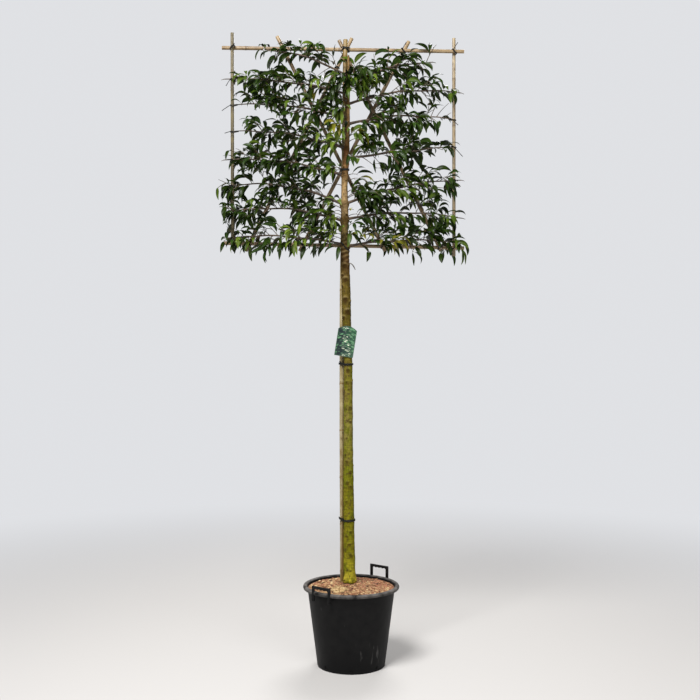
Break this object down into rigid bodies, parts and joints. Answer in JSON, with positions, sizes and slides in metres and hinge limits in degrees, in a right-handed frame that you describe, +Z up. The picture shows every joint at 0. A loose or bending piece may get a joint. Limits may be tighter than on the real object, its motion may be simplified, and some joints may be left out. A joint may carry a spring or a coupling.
{
  "type": "potted espalier tree",
  "caption": "Narrow-leaved evergreen tree trained flat on a bamboo frame above a clear straight trunk, growing in a round black nursery pot with two lifting handles.",
  "frame": {"origin": "centre of the pot's flat underside, on the floor", "axes": "+Z up along the trunk; the crown is trained flat in the XZ plane, and -Y is the front, where the side branches pass before the canes; +X is to the right seen from the front"},
  "size_m": [1.2626, 0.48, 3.167],
  "materials": {
    "black_plastic": "moulded, scuffed",
    "bark_topped_compost": "loose bark chips",
    "algae_green_bark": "smooth bark with algae",
    "red_brown_bark": "young smooth bark",
    "bamboo": "dry cane",
    "glossy_leaf_green": "glossy leaves",
    "black_tie": "soft tube tie",
    "label_green": "printed card",
    "label_loop": "thin plastic loop"
  },
  "bodies": {
    "root": {"bough_left_1": "red_brown_bark", "bough_left_2": "red_brown_bark", "bough_left_3": "red_brown_bark", "bough_left_4": "red_brown_bark", "bough_left_5": "red_brown_bark", "bough_left_6": "red_brown_bark", "bough_left_7": "red_brown_bark", "bough_left_8": "red_brown_bark", "bough_right_1": "red_brown_bark", "bough_right_2": "red_brown_bark", "bough_right_3": "red_brown_bark", "bough_right_4": "red_brown_bark", "bough_right_5": "red_brown_bark", "bough_right_6": "red_brown_bark", "bough_right_7": "red_brown_bark", "brace_left_in": "bamboo", "brace_left_out": "bamboo", "brace_right_in": "bamboo", "brace_right_out": "bamboo", "compost": "bark_topped_compost", "foliage_left_1": "glossy_leaf_green", "foliage_left_2": "glossy_leaf_green", "foliage_left_3": "glossy_leaf_green", "foliage_left_4": "glossy_leaf_green", "foliage_left_5": "glossy_leaf_green", "foliage_left_6": "glossy_leaf_green", "foliage_left_7": "glossy_leaf_green", "foliage_left_8": "glossy_leaf_green", "foliage_right_1": "glossy_leaf_green", "foliage_right_2": "glossy_leaf_green", "foliage_right_3": "glossy_leaf_green", "foliage_right_4": "glossy_leaf_green", "foliage_right_5": "glossy_leaf_green", "foliage_right_6": "glossy_leaf_green", "foliage_right_7": "glossy_leaf_green", "handle_back": "black_plastic", "handle_front": "black_plastic", "label": "label_green", "label_loop": "label_loop", "pot": "black_plastic", "rail_bottom": "bamboo", "rail_top": "bamboo", "side_left": "bamboo", "side_right": "bamboo", "tie_bottom_left": "black_tie", "tie_bottom_middle": "black_tie", "tie_bottom_right": "black_tie", "tie_crown": "black_tie", "tie_top_left": "black_tie", "tie_top_middle": "black_tie", "tie_top_right": "black_tie", "tie_trunk_high": "black_tie", "tie_trunk_low": "black_tie", "trunk": "algae_green_bark", "upright_cane": "bamboo"}
  },
  "joints": []
}
